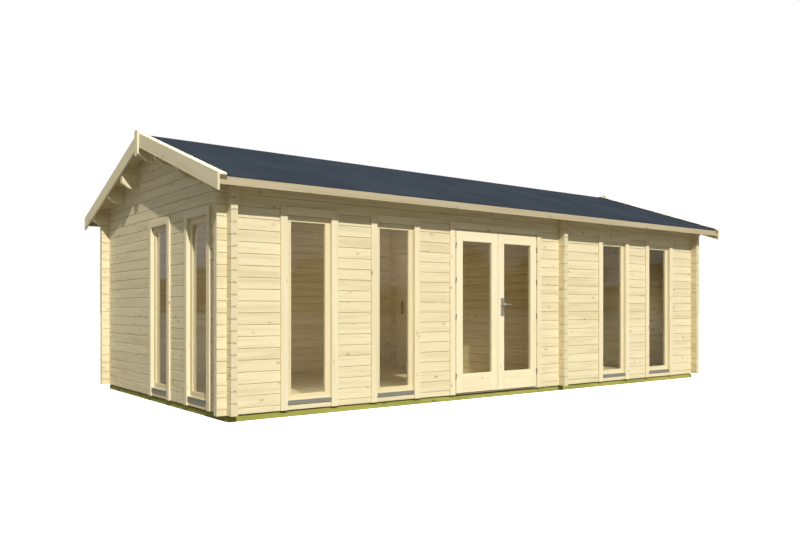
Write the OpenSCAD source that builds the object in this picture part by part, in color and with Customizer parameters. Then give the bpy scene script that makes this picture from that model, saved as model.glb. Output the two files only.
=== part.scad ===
// Rectangular log cabin with a double glazed door, six tall fixed windows and a felted gable roof.
// +X runs along the front from left to right, the front faces -Y, and Z = 0 is the ground.
// Lengths inside the modules are measured from the outer corner of the front and left walls.

/* [Building] */
// Length of the long walls, over the outer faces
wall_len = 7800; // [7600:50:8400]
// Length of the gable walls, over the outer faces
wall_dep = 3800; // [3600:50:4400]
// Thickness of a wall log
log_t = 70; // [44:1:90]
// Height of a wall log between two joints
log_h = 114; // [100:1:140]
// How far the log ends stand out past a crossing wall
tail = 100; // [60:5:150]
// Depth of the V groove at each log joint
groove = 5; // [3:1:8]
// Left face of the partition wall, from the left corner
partition_x = 4665; // [4500:5:4900]

/* [Base] */
// Height of the foundation beams
beam_h = 70; // [40:1:90]
// Width of the foundation beams
beam_w = 70; // [45:1:100]
// How far the foundation beams stand back from the wall face
beam_inset = 20; // [5:1:25]
// Thickness of the floor boards
floor_t = 19; // [16:1:28]

/* [Roof] */
// Slope of the roof in degrees
slope = 19; // [15:1:25]
// Height of the roof boards' underside at the front wall's outer face, above the wall's foot
eave_h = 2300; // [2280:1:2340]
// How far the roof reaches past the long walls
eave_out = 300; // [200:10:350]
// How far the roof reaches past the gable walls, to the bargeboards
gable_out = 200; // [160:5:240]
// Thickness of the roof boards
board_t = 19; // [16:1:25]
// Thickness of the roofing felt
felt_t = 3; // [2:0.5:5]
// Width of the bargeboards
barge_w = 151; // [120:1:170]
// Thickness of bargeboards, fascias and cover strips
trim_t = 20; // [16:1:25]
// Distance from the ridge to the middle of the front slope's upper purlin
front_upper_purlin = 500; // [450:5:600]
// Distance from the ridge to the middle of the front slope's lower purlin
front_lower_purlin = 1150; // [1100:5:1300]
// Distance from the ridge to the middle of the back slope's upper purlin
back_upper_purlin = 660; // [600:5:700]
// Distance from the ridge to the middle of the back slope's lower purlin
back_lower_purlin = 1210; // [1150:5:1300]

/* [Windows] */
// Clear width between the jambs of a window
win_w = 513; // [450:1:600]
// Underside of the head of windows and doors, above the wall's foot
head_z = 1946; // [1900:1:1980]
// Underside of the sash, above the wall's foot
sash_z = 97; // [80:1:150]
// Width of a sash's stiles and rails
sash_w = 56; // [45:1:70]
// Thickness of a sash
sash_t = 42; // [35:1:45]
// How far the sash stands back from the wall face
sash_in = 20; // [10:1:25]
// Thickness of the jamb boards
jamb_t = 28; // [20:1:35]
// Width of the cover boards round windows and doors
cover_w = 78; // [60:1:90]
// Thickness of the glass
glass_t = 4; // [3:1:8]

/* [Front door] */
// Middle of the double door, from the left corner
door_x = 3544; // [3400:1:3600]
// Width of one leaf's face
leaf_w = 674; // [600:1:700]
// Thickness of a leaf
leaf_t = 48; // [40:1:56]
// Underside of the leaves, above the wall's foot
leaf_z = 18; // [15:1:30]
// Height of a leaf
leaf_h = 1911; // [1880:1:1915]
// Width of a leaf's stiles
stile_w = 101; // [80:1:110]
// Height of a leaf's top rail
top_rail = 121; // [100:1:140]
// Height of a leaf's bottom rail
bottom_rail = 219; // [200:1:260]
// Gap between the two leaves
leaf_gap = 7; // [6:1:10]
// How far a leaf's face stands out from the wall face
leaf_out = 17; // [15:1:19]
// Height of the lever above the wall's foot
lever_z = 1060; // [1000:1:1100]
// Length of a lever from its spindle
lever_len = 115; // [100:1:130]

/* [Inner door] */
// Hinge side of the inner doorway, from the front corner
inner_y = 2700; // [2500:10:2750]
// Clear width of the inner doorway
inner_w = 760; // [700:10:780]
// Height of the inner door's leaf
inner_h = 1890; // [1850:1:1900]
// Thickness of the inner door's leaf
inner_t = 40; // [35:1:42]

/* [Hidden] */

// Middles of the windows, along the front wall and along the left gable wall
front_windows = [900, 1990, 5815, 6885];
gable_windows = [700, 1800];

// Joints between logs: the long walls start with half a log, the crossing walls with a whole one
long_joints = [for (k = [0:25]) beam_h + log_h * (k + 0.5)];
cross_joints = [for (k = [0:25]) beam_h + log_h * (k + 1)];
corbel_z = long_joints[18];

// The roof: heights are those of the boards' underside, thicknesses are measured plumb
rise = tan(slope);
half_dep = wall_dep / 2;
ridge_z = beam_h + eave_h + half_dep * rise;
boards_v = board_t / cos(slope);
felt_top = boards_v + felt_t / cos(slope);
cap_top = felt_top + 16 / cos(slope);
barge_v = barge_w / cos(slope);
roof_left = -gable_out;
roof_right = wall_len + gable_out;
batten_w = 70;
batten_drop = 22;
boards_left = roof_left + batten_w;
boards_right = roof_right - batten_w;
fascia_h = 84;
apex_w = 100;
apex_h = 303;
apex_up = 28;
mitre_gap = 1;

// Middle and foot of each purlin
purlins = [
    [half_dep, long_joints[23]],
    [half_dep - front_upper_purlin, long_joints[22]],
    [half_dep - front_lower_purlin, long_joints[20]],
    [half_dep + back_upper_purlin, long_joints[21]],
    [half_dep + back_lower_purlin, long_joints[20]]
];
end_cut_h = 60;
end_cut_run = 90;

// The walls
right_x = wall_len - log_t;
back_y = wall_dep - log_t;

// The beams under them
beam_ys = [beam_inset, round(wall_dep / 3), round(wall_dep * 2 / 3), wall_dep - beam_inset - beam_w];
beam_xs = [beam_inset, partition_x, wall_len - beam_inset - beam_w];
floor_top = beam_h + floor_t;
floor_gap = 4;

// Windows: heights above the ground
opening_top = beam_h + head_z;
covers_top = opening_top + cover_w + 2;
win_foot = beam_h + sash_z;
win_half = win_w / 2;
frame_foot = win_foot - 5;
glass_in = 15;
glass_low = win_foot + sash_w - 5;
glass_high = opening_top - sash_w - 6;
sill_out = 10;
sill_drop = 38;
sill_fall = 3;
sheet_t = 2;

// Double door, measured from its middle: the lip laps over the frame with a gap all round
gap = 5;
lip = 12;
door_side = leaf_w + leaf_gap / 2;
frame_in = door_side - lip + gap;
door_jamb_t = 45;
frame_out = frame_in + door_jamb_t;
hinge_gap = 16;
cover_in = door_side + hinge_gap;
leaf_foot = beam_h + leaf_z;
leaf_top = leaf_foot + leaf_h;
body_top = leaf_top - lip;
pane_low = leaf_foot + bottom_rail;
pane_high = leaf_top - top_rail;
pane_y = 1;
bevel = 3;
threshold_top = leaf_foot - 6;
threshold_out = 12;

// Hinges: the pins stand in front of the cover boards, so that a leaf swings past them
pin_x = door_side + hinge_gap / 2;
pin_y = -21;
pin_r = 3;
bore_r = 3.1;
knuckle_r = 6;
knuckle_h = 33;
knuckle_gap = 1;
pin_len = 63;
strap_t = 3;
hinge_zs = [for (up = [160, 860, 1290, 1700]) leaf_foot + up];

// Handles
spindle_x = leaf_gap / 2 + 65;
spindle_z = beam_h + lever_z;
spindle_r = 5;
spindle_hole_r = 8;
plate_t = 8;
plate_w = 50;
plate_down = 142;
plate_up = 80;
neck_r = 9;
neck_len = 42;
grip_t = 12;
grip_h = 20;

// Inner door
inner_low = inner_y - jamb_t;
inner_high = inner_y + inner_w + jamb_t;
inner_foot = floor_top + 6;
inner_top = inner_foot + inner_h;
inner_head = inner_top + gap;
inner_cover_w = 64;
inner_cover_t = 15;
inner_set = 14;
inner_pin_out = 12;
inner_pin_x = partition_x - inner_pin_out;
inner_pin_y = inner_y - 4;
inner_strap_len = 36;
inner_zs = [for (up = [200, 1620]) inner_foot + up];
latch_gap = 7;
backset = 60;
inner_spindle_y = inner_y + inner_w - latch_gap - backset;

// How far cutting solids reach past what they cut
through = 100;

// Height of the roof boards' underside
function under(y) = beam_h + eave_h + rise * min(y, wall_dep - y);

module piece(tint) {
    color(tint) translate([-wall_len / 2, -half_dep, 0]) children();
}

// A box from one corner to the opposite one
module span(low, high) {
    translate(low) cube(high - low);
}

// An outline in Y and Z, drawn out along X
module along_x(x0, x1) {
    translate([x0, 0, 0]) rotate([90, 0, 90]) linear_extrude(x1 - x0) children();
}

module on_back() {
    translate([0, wall_dep, 0]) mirror([0, 1, 0]) children();
}

module at_right() {
    translate([wall_len, 0, 0]) mirror([1, 0, 0]) children();
}

// The same at all four corners of the roof
module all_corners() {
    children();
    on_back() children();
    at_right() children();
    at_right() on_back() children();
}

// Section of a wall of logs: V grooves at the joints on both faces, and a top that may slope
module log_section(joints, top_out, top_in) {
    low = [for (z = joints) if (z < min(top_out, top_in) - 2 * groove) z];
    up = [for (z = low) each [[0, z - groove], [groove, z], [0, z + groove]]];
    down = [for (k = [len(low) - 1:-1:0]) each [
        [log_t, low[k] + groove], [log_t - groove, low[k]], [log_t, low[k] - groove]]];
    polygon(concat([[0, beam_h]], up, [[0, top_out], [log_t, top_in]], down, [[log_t, beam_h]]));
}

// Everything above the roof boards' underside, lowered by drop
module above_roof(x0, x1, drop = 0) {
    edge = 600;
    top = ridge_z + edge;
    along_x(x0, x1)
        polygon([
            [-edge, under(-edge) - drop], [half_dep, ridge_z - drop],
            [wall_dep + edge, under(-edge) - drop], [wall_dep + edge, top], [-edge, top]
        ]);
}

// The space that the edge battens take, at both ends of the roof
module batten_space() {
    above_roof(roof_left - 1, boards_left, batten_drop);
    above_roof(boards_right, roof_right + 1, batten_drop);
}

// Notches where a crossing wall's logs pass through: half a log high, on those logs' centres
module notches(joints, x, y) {
    for (z = joints)
        span([x, y, z - log_h / 4], [x + log_t, y + log_t, z + log_h / 4]);
}

// The slanted cuts under both ends of a log that reaches the bargeboards
module end_cuts(y, z) {
    translate([0, y + log_t + 1, z]) rotate([90, 0, 0]) linear_extrude(log_t + 2) {
        polygon([
            [roof_left - 1, -1], [roof_left + end_cut_run, -1], [roof_left + end_cut_run, 0],
            [roof_left, end_cut_h], [roof_left - 1, end_cut_h]
        ]);
        polygon([
            [roof_right + 1, -1], [roof_right - end_cut_run, -1], [roof_right - end_cut_run, 0],
            [roof_right, end_cut_h], [roof_right + 1, end_cut_h]
        ]);
    }
}

// A whole long wall. Its top two logs reach past the gables as corbels.
module long_wall() {
    difference() {
        along_x(roof_left, roof_right) log_section(long_joints, under(0), under(log_t));
        for (x = [[roof_left - 1, -tail], [wall_len + tail, roof_right + 1]])
            span([x[0], -1, 0], [x[1], log_t + 1, corbel_z]);
        for (x = [0, partition_x, right_x]) notches(long_joints, x, 0);
        end_cuts(0, corbel_z);
        batten_space();
    }
}

module front_wall(x0, x1, z0) {
    piece("burlywood") difference() {
        intersection() {
            long_wall();
            span([x0, -1, z0], [x1, log_t + 1, ridge_z]);
        }
        for (x = front_windows)
            span([x - win_half - jamb_t, -1, frame_foot],
                [x + win_half + jamb_t, log_t + 1, opening_top + jamb_t]);
    }
}

module front_wall_left() { front_wall(roof_left, door_x - frame_out, 0); }
module front_wall_right() { front_wall(door_x + frame_out, roof_right, 0); }
module front_wall_over_door() {
    front_wall(door_x - frame_out, door_x + frame_out, opening_top + jamb_t);
}
module back_wall() { piece("burlywood") on_back() long_wall(); }

// A whole crossing wall, with its log ends front and back, and room for the logs that cross it
module crossing_wall(x) {
    crossed = [for (z = cross_joints) if (z < under(log_t)) z];
    difference() {
        translate([x, wall_dep + tail, 0])
            rotate([90, 0, 0])
                linear_extrude(wall_dep + 2 * tail) log_section(cross_joints, ridge_z, ridge_z);
        above_roof(x - 1, x + log_t + 1);
        for (y = [0, back_y]) {
            notches(crossed, x, y);
            span([x, y, 0], [x + log_t, y + log_t, long_joints[0] - log_h / 4]);
            span([x, y, max(crossed)], [x + log_t, y + log_t, ridge_z]);
        }
        for (p = purlins)
            span([x - 1, p[0] - log_t / 2, p[1]], [x + log_t + 1, p[0] + log_t / 2, ridge_z]);
    }
}

module left_gable_wall() {
    piece("burlywood") difference() {
        crossing_wall(0);
        for (y = gable_windows)
            span([-1, y - win_half - jamb_t, frame_foot],
                [log_t + 1, y + win_half + jamb_t, opening_top + jamb_t]);
    }
}

module right_gable_wall() { piece("burlywood") crossing_wall(right_x); }

module partition_wall(y0, y1, z0) {
    piece("burlywood") intersection() {
        crossing_wall(partition_x);
        span([partition_x - 1, y0, z0], [partition_x + log_t + 1, y1, ridge_z]);
    }
}

module partition_wall_front() { partition_wall(-tail, inner_low, 0); }
module partition_wall_back() { partition_wall(inner_high, wall_dep + tail, 0); }
module partition_wall_over_door() { partition_wall(inner_low, inner_high, inner_head + jamb_t); }

module long_foundation_beams() {
    piece("darkolivegreen")
        for (y = beam_ys) span([beam_inset, y, 0], [wall_len - beam_inset, y + beam_w, beam_h]);
}

module cross_foundation_beams() {
    piece("darkolivegreen")
        for (x = beam_xs, k = [0:2])
            span([x, beam_ys[k] + beam_w, 0], [x + beam_w, beam_ys[k + 1], beam_h]);
}

// The floor of each room, clear of the walls all round
module floor_boards() {
    piece("wheat")
        for (x = [[log_t, partition_x], [partition_x + log_t, right_x]])
            span([x[0] + floor_gap, log_t + floor_gap, beam_h],
                [x[1] - floor_gap, back_y - floor_gap, floor_top]);
}

// A purlin, planed to the roof's slope
module purlin(p) {
    difference() {
        span([roof_left, p[0] - log_t / 2, p[1]], [roof_right, p[0] + log_t / 2, ridge_z]);
        above_roof(roof_left - 1, roof_right + 1);
        batten_space();
        end_cuts(p[0] - log_t / 2, p[1]);
    }
}

module ridge_purlin() { piece("tan") purlin(purlins[0]); }
module side_purlins() { piece("tan") for (k = [1:4]) purlin(purlins[k]); }

// A layer of the front slope, between two heights over the boards' underside
module roof_layer(x0, x1, v0, v1, out, short = 0) {
    end = half_dep - short;
    along_x(x0, x1)
        polygon([
            [-out, under(-out) + v0], [end, under(end) + v0],
            [end, under(end) + v1], [-out, under(-out) + v1]
        ]);
}

module roof_boards() { roof_layer(boards_left, boards_right, 0, boards_v, eave_out - trim_t); }
module roof_boards_front() { piece("wheat") roof_boards(); }
module roof_boards_back() { piece("wheat") on_back() roof_boards(); }

module felt_slope() { roof_layer(boards_left, boards_right, boards_v, felt_top, eave_out); }
module roof_felt() {
    piece("slategray") {
        felt_slope();
        on_back() felt_slope();
    }
}

// Fascia along an eave, lower at its ends, where the edge battens lie on it
module fascia() {
    top = under(-eave_out) + boards_v;
    foot = top - fascia_h;
    low_top = under(-eave_out) - batten_drop;
    span([boards_left, -eave_out, foot], [boards_right, trim_t - eave_out, top]);
    span([roof_left, -eave_out, foot], [roof_right, trim_t - eave_out, low_top]);
}

module fascias() {
    piece("wheat") {
        fascia();
        on_back() fascia();
    }
}

// A pair of bargeboards, plumb cut at the eaves and at the ridge
module bargeboard(x) { roof_layer(x, x + trim_t, cap_top - barge_v, cap_top, eave_out, mitre_gap); }
module bargeboards(x) {
    piece("wheat") {
        bargeboard(x);
        on_back() bargeboard(x);
    }
}

module left_bargeboards() { bargeboards(roof_left - trim_t); }
module right_bargeboards() { bargeboards(roof_right); }

// Pointed board over the joint of a pair of bargeboards
module apex_plate(x) {
    half = apex_w / 2;
    top = ridge_z + cap_top + apex_up;
    foot = top - apex_h;
    along_x(x, x + trim_t)
        polygon([
            [half_dep - half, foot + half / 2], [half_dep, foot], [half_dep + half, foot + half / 2],
            [half_dep + half, top - half * rise], [half_dep, top], [half_dep - half, top - half * rise]
        ]);
}

module apex_plates() {
    piece("wheat") {
        apex_plate(roof_left - 2 * trim_t);
        apex_plate(roof_right + trim_t);
    }
}

module edge_battens() {
    piece("tan") all_corners()
        roof_layer(roof_left, boards_left, -batten_drop, felt_top, eave_out, mitre_gap);
}

module edge_caps() {
    piece("wheat") all_corners()
        roof_layer(roof_left, boards_left, felt_top, cap_top, eave_out, mitre_gap);
}

// Puts a window that faces -Y at every window's place
module at_windows() {
    for (x = front_windows) translate([x, 0, 0]) children();
    for (y = gable_windows) translate([0, y, 0]) rotate([0, 0, -90]) children();
}

module window_frames() {
    piece("wheat") at_windows() difference() {
        span([-win_half - jamb_t, 0, frame_foot], [win_half + jamb_t, log_t, opening_top + jamb_t]);
        span([-win_half, -1, win_foot], [win_half, log_t + 1, opening_top]);
    }
}

module window_sashes() {
    piece("wheat") at_windows() difference() {
        span([-win_half, sash_in, win_foot], [win_half, sash_in + sash_t, opening_top]);
        span([sash_w - win_half, 0, glass_low], [win_half - sash_w, log_t, glass_high]);
    }
}

module window_glass() {
    y = sash_in + glass_in;
    piece("dimgray") at_windows()
        span([sash_w - win_half, y, glass_low], [win_half - sash_w, y + glass_t, glass_high]);
}

// Cover boards: two uprights from the wall's foot, and one across the top
module covers(half) {
    span([-half - cover_w, -trim_t, beam_h], [-half, 0, covers_top]);
    span([half, -trim_t, beam_h], [half + cover_w, 0, covers_top]);
    span([-half, -trim_t, opening_top], [half, 0, covers_top]);
}

module window_covers() { piece("wheat") at_windows() covers(win_half); }

// Drip sill of folded sheet: a sloping top and a turned-down front
module window_sills() {
    inner = sheet_t - sill_out;
    piece("gray") at_windows() along_x(1 - win_half, win_half - 1)
        polygon([
            [-sill_out, frame_foot - sill_drop], [-sill_out, frame_foot],
            [0, frame_foot + sill_fall], [0, frame_foot],
            [inner, frame_foot - sheet_t], [inner, frame_foot - sill_drop]
        ]);
}

module door_frame() {
    piece("wheat") translate([door_x, 0, 0]) difference() {
        span([-frame_out, 0, beam_h], [frame_out, log_t, opening_top + jamb_t]);
        span([-frame_in, -1, 0], [frame_in, log_t + 1, body_top + gap]);
    }
}

module door_covers() { piece("wheat") translate([door_x, 0, 0]) covers(cover_in); }

module door_threshold() {
    piece("dimgray")
        span([door_x - frame_in, -threshold_out, beam_h], [door_x + frame_in, log_t, threshold_top]);
}

// Fixed halves of the hinges: a lower knuckle with the pin, and a plate back to the frame
module door_hinge_pins() {
    piece("gray") for (side = [-1, 1], z = hinge_zs) {
        translate([door_x + side * pin_x, pin_y, z]) {
            cylinder(h = knuckle_h, r = knuckle_r, $fn = 32);
            cylinder(h = pin_len, r = pin_r, $fn = 32);
            span([-strap_t / 2, 0, 0], [strap_t / 2, -pin_y, knuckle_h]);
        }
    }
}

// The left leaf: a glazed frame with a lip over the door frame, and a bevelled meeting edge
module leaf() {
    difference() {
        union() {
            span([-door_side, -leaf_out, leaf_foot], [-leaf_gap / 2, lip - leaf_out, leaf_top]);
            span([lip - door_side, -leaf_out, leaf_foot], [-leaf_gap / 2, leaf_t - leaf_out, body_top]);
        }
        span([stile_w - door_side, -through, pane_low], [-leaf_gap / 2 - stile_w, through, pane_high]);
        linear_extrude(leaf_top + 1)
            polygon([
                [-leaf_gap / 2, -leaf_out], [0, -leaf_out - 1],
                [0, leaf_t], [-leaf_gap / 2 - bevel, leaf_t - leaf_out]
            ]);
    }
}

module leaf_glass() {
    span([stile_w - door_side, pane_y, pane_low],
        [-leaf_gap / 2 - stile_w, pane_y + glass_t, pane_high]);
}

// Moving halves of the hinges: an upper knuckle over the pin, and a strap onto the leaf's face
module leaf_hinges() {
    strap_y = -pin_y - leaf_out;
    for (z = hinge_zs)
        translate([-pin_x, pin_y, z + knuckle_h + knuckle_gap])
            difference() {
                union() {
                    cylinder(h = knuckle_h, r = knuckle_r, $fn = 32);
                    span([0, strap_y - strap_t, 0], [hinge_gap, strap_y, knuckle_h]);
                }
                translate([0, 0, -1]) cylinder(h = pin_len - knuckle_h + 1, r = bore_r, $fn = 32);
            }
}

module at_left_leaf() { translate([door_x, 0, 0]) children(); }
module at_right_leaf() { translate([door_x, 0, 0]) mirror([1, 0, 0]) children(); }

module left_door_leaf() { piece("wheat") at_left_leaf() leaf(); }
module left_door_glass() { piece("dimgray") at_left_leaf() leaf_glass(); }
module left_door_hinges() { piece("gray") at_left_leaf() leaf_hinges(); }
module right_door_leaf() {
    piece("wheat") difference() {
        at_right_leaf() leaf();
        translate([door_x + spindle_x, through, spindle_z])
            rotate([90, 0, 0]) cylinder(h = 2 * through, r = spindle_hole_r, $fn = 32);
    }
}
module right_door_glass() { piece("dimgray") at_right_leaf() leaf_glass(); }
module right_door_hinges() { piece("gray") at_right_leaf() leaf_hinges(); }

// Handle plates on both faces of a leaf that reaches from Y = 0 to Y = thick, spindle at X = 0
module handle_plates(thick) {
    for (y = [-plate_t, thick]) difference() {
        span([-plate_w / 2, y, -plate_down], [plate_w / 2, y + plate_t, plate_up]);
        translate([0, y + plate_t + 1, 0])
            rotate([90, 0, 0]) cylinder(h = plate_t + 2, r = spindle_r + 0.1, $fn = 48);
    }
}

// Both levers on their spindle, pointing along +X
module levers(thick) {
    clear = 0.5;
    reach = plate_t + neck_len;
    translate([0, thick + reach, 0])
        rotate([90, 0, 0]) cylinder(h = thick + 2 * reach, r = spindle_r, $fn = 48);
    for (y = [-reach, thick + plate_t + clear])
        translate([0, y + neck_len - clear, 0])
            rotate([90, 0, 0]) cylinder(h = neck_len - clear, r = neck_r, $fn = 48);
    for (y = [-reach, thick + reach - grip_t])
        span([-neck_r, y, -grip_h / 2], [lever_len, y + grip_t, grip_h / 2]);
}

module at_spindle() { translate([door_x + spindle_x, -leaf_out, spindle_z]) children(); }
module door_handle_plates() { piece("silver") at_spindle() handle_plates(leaf_t); }
module door_levers() { piece("silver") at_spindle() levers(leaf_t); }

// Inner door: a lining with a stop behind the leaf, and the fixed halves of its hinges
module inner_door_frame() {
    stop_x = partition_x + inner_t + gap;
    right = partition_x + log_t;
    piece("wheat") {
        difference() {
            span([partition_x, inner_low, beam_h], [right, inner_high, inner_head + jamb_t]);
            span([partition_x - 1, inner_y, floor_top], [right + 1, inner_y + inner_w, inner_head]);
        }
        difference() {
            span([stop_x, inner_y, floor_top], [right, inner_y + inner_w, inner_head]);
            span([stop_x - 1, inner_y + lip, 0], [right + 1, inner_y + inner_w - lip, inner_head - lip]);
        }
        for (z = inner_zs) translate([inner_pin_x, inner_pin_y, z]) {
            cylinder(h = knuckle_h, r = knuckle_r, $fn = 32);
            cylinder(h = pin_len, r = pin_r, $fn = 32);
            span([0, -strap_t / 2, 0], [inner_pin_out, strap_t / 2, knuckle_h]);
        }
    }
}

// Cover boards round the inner doorway, on both faces of the partition
module inner_door_covers() {
    low = inner_y - inner_set;
    high = inner_y + inner_w + inner_set;
    top = inner_head + inner_set;
    piece("wheat") for (x = [partition_x - inner_cover_t, partition_x + log_t]) difference() {
        span([x, low - inner_cover_w, floor_top],
            [x + inner_cover_t, high + inner_cover_w, top + inner_cover_w]);
        span([x - 1, low, 0], [x + inner_cover_t + 1, high, top]);
    }
}

module inner_hinge() {
    difference() {
        union() {
            cylinder(h = knuckle_h, r = knuckle_r, $fn = 32);
            span([inner_pin_out - strap_t, 0, 0], [inner_pin_out, inner_strap_len, knuckle_h]);
        }
        translate([0, 0, -1]) cylinder(h = pin_len - knuckle_h + 1, r = bore_r, $fn = 32);
    }
}

module inner_door_leaf() {
    piece("wheat") {
        difference() {
            span([partition_x, inner_y + gap, inner_foot],
                [partition_x + inner_t, inner_y + inner_w - latch_gap, inner_top]);
            translate([partition_x - through, inner_spindle_y, spindle_z])
                rotate([0, 90, 0]) cylinder(h = 2 * through, r = spindle_hole_r, $fn = 32);
        }
        for (z = inner_zs)
            translate([inner_pin_x, inner_pin_y, z + knuckle_h + knuckle_gap]) inner_hinge();
    }
}

// Turns a handle to face -X, with its levers towards the hinges
module at_inner_spindle() {
    translate([partition_x, inner_spindle_y, spindle_z]) rotate([0, 0, -90]) children();
}
module inner_handle_plates() { piece("silver") at_inner_spindle() handle_plates(inner_t); }
module inner_levers() { piece("silver") at_inner_spindle() levers(inner_t); }

long_foundation_beams();
cross_foundation_beams();
floor_boards();
front_wall_left();
front_wall_right();
front_wall_over_door();
back_wall();
left_gable_wall();
right_gable_wall();
partition_wall_front();
partition_wall_back();
partition_wall_over_door();
ridge_purlin();
side_purlins();
roof_boards_front();
roof_boards_back();
roof_felt();
fascias();
left_bargeboards();
right_bargeboards();
apex_plates();
edge_battens();
edge_caps();
window_frames();
window_sashes();
window_glass();
window_covers();
window_sills();
door_frame();
door_covers();
door_threshold();
door_hinge_pins();
left_door_leaf();
left_door_glass();
left_door_hinges();
right_door_leaf();
right_door_glass();
right_door_hinges();
door_handle_plates();
door_levers();
inner_door_frame();
inner_door_covers();
inner_door_leaf();
inner_handle_plates();
inner_levers();
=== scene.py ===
"""Looks of the log cabin: logs, boards, joinery, felt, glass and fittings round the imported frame.

Lengths are in metres. Inside the builders they run from the outer corner of the front and left walls.
"""

import math
import random

import bpy
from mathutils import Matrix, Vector


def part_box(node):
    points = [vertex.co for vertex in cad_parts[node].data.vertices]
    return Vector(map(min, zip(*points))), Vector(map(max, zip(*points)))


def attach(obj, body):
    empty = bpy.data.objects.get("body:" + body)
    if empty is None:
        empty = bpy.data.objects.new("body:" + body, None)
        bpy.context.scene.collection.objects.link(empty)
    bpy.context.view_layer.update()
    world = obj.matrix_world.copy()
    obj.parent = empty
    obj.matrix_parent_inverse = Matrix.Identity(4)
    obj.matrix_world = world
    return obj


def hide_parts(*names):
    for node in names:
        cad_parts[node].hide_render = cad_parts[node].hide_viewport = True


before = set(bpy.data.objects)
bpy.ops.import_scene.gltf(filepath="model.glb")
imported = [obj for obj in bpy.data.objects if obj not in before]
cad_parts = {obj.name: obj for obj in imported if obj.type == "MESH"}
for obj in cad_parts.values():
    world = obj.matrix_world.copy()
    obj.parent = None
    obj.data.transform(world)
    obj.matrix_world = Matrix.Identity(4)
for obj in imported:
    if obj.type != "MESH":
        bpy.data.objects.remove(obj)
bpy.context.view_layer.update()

# ---- sizes
# Log walls. The crossing walls' joints lie half a log above the long walls'
LOG_T = 0.070
LOG_H = 0.114
TAIL = 0.100
GROOVE = 0.005
TONGUE = 0.012
# Gap under the next log, at the faces and under the tongues
FACE_SEAM = 0.0022
SEAM = 0.0080
# Shorter than this is taken as nothing
TINY = 0.001
WALL_LEN = 7.800
WALL_DEP = 3.800
BEAM_H = 0.070
BEAM_W = 0.070
LONG_JOINTS = [BEAM_H + LOG_H * (k + 0.5) for k in range(25)]
CROSS_JOINTS = [BEAM_H + LOG_H * (k + 1) for k in range(25)]
CORBEL_Z = LONG_JOINTS[18]

# Roof
SLOPE = math.radians(19)
RISE = math.tan(SLOPE)
EAVE_Z = BEAM_H + 2.300
HALF_DEP = WALL_DEP / 2
RIDGE_Z = EAVE_Z + HALF_DEP * RISE
EAVE_OUT = 0.300
GABLE_OUT = 0.200
BOARD_T = 0.019
FELT_T = 0.003
CAP_T = 0.016
TRIM_T = 0.020
BARGE_W = 0.151
BATTEN_W = 0.070
BATTEN_DROP = 0.0208
FASCIA_H = 0.084
END_CUT_H = 0.060
END_CUT_RUN = 0.090
MITRE_GAP = 0.001
# Middle and foot of the purlins beside the ridge
SIDE_PURLINS = ((HALF_DEP - 0.500, LONG_JOINTS[22]), (HALF_DEP - 1.150, LONG_JOINTS[20]),
                (HALF_DEP + 0.660, LONG_JOINTS[21]), (HALF_DEP + 1.210, LONG_JOINTS[20]))

# Windows: half the clear width, heights above the ground, and middles along their walls
WIN_HALF = 0.2565
JAMB_T = 0.028
COVER_W = 0.078
OPENING_TOP = BEAM_H + 1.946
COVERS_TOP = OPENING_TOP + 0.080
WIN_FOOT = BEAM_H + 0.097
FRAME_FOOT = WIN_FOOT - 0.005
SASH_IN = 0.020
SASH_T = 0.042
SASH_W = 0.056
PANE_LOW = WIN_FOOT + 0.051
PANE_HIGH = OPENING_TOP - 0.062
FRONT_WINDOWS = (0.900, 1.990, 5.815, 6.885)
GABLE_WINDOWS = (0.700, 1.800)

# Front door: its sides, frame and cover boards are placed from its middle
DOOR_X = 3.544
LEAF_GAP = 0.007
DOOR_SIDE = 0.6775
LIP = 0.012
FRAME_IN = 0.6705
FRAME_OUT = 0.7155
COVER_IN = 0.6935
LEAF_OUT = 0.017
LEAF_T = 0.048
LEAF_FOOT = BEAM_H + 0.018
LEAF_TOP = LEAF_FOOT + 1.911
STILE_W = 0.101
TOP_RAIL = 0.121
BOTTOM_RAIL = 0.219
SPINDLE_X = DOOR_X + 0.0685
SPINDLE_Z = BEAM_H + 1.060

# Partition and inner door
PARTITION_X = 4.665
FLOOR_TOP = BEAM_H + 0.019
INNER_LOW = 2.700
INNER_HIGH = 3.460
INNER_FOOT = FLOOR_TOP + 0.006
INNER_TOP = FLOOR_TOP + 1.896
INNER_HEAD = INNER_TOP + 0.005
INNER_T = 0.040

# The outer corner of the walls in the shared frame
CORNER = Vector((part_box("left_gable_wall")[0].x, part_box("front_wall_left")[0].y, 0))


def under(y):
    """Height of the roof boards' underside."""
    return EAVE_Z + RISE * min(y, WALL_DEP - y)


def from_corner(box):
    """A node's lowest and highest corners, measured from the corner of the walls."""
    low, high = box
    return low - CORNER, high - CORNER


# ---- shapes
# For a grain direction: that axis and the two across it
AXES = {"x": (0, 1, 2), "y": (1, 2, 0), "z": (2, 0, 1)}
# Material slots of a board's long faces and of its sawn ends
SIDE, END = 0, 1


def chamfered(a0, a1, b0, b1, c):
    """Outline of a bar with its four long edges taken off."""
    return [
        (a0 + c, b0), (a1 - c, b0), (a1, b0 + c), (a1, b1 - c),
        (a1 - c, b1), (a0 + c, b1), (a0, b1 - c), (a0, b0 + c),
    ]


def skin(rings):
    """Points and faces of a closed skin through rings of equally many points."""
    n = len(rings[0])
    points = [point for loop in rings for point in loop]
    faces = []
    for row in range(0, len(points) - n, n):
        faces += [[row + k, row + (k + 1) % n, row + n + (k + 1) % n, row + n + k] for k in range(n)]
    faces += [list(reversed(range(n))), list(range(len(points) - n, len(points)))]
    return points, faces


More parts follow.
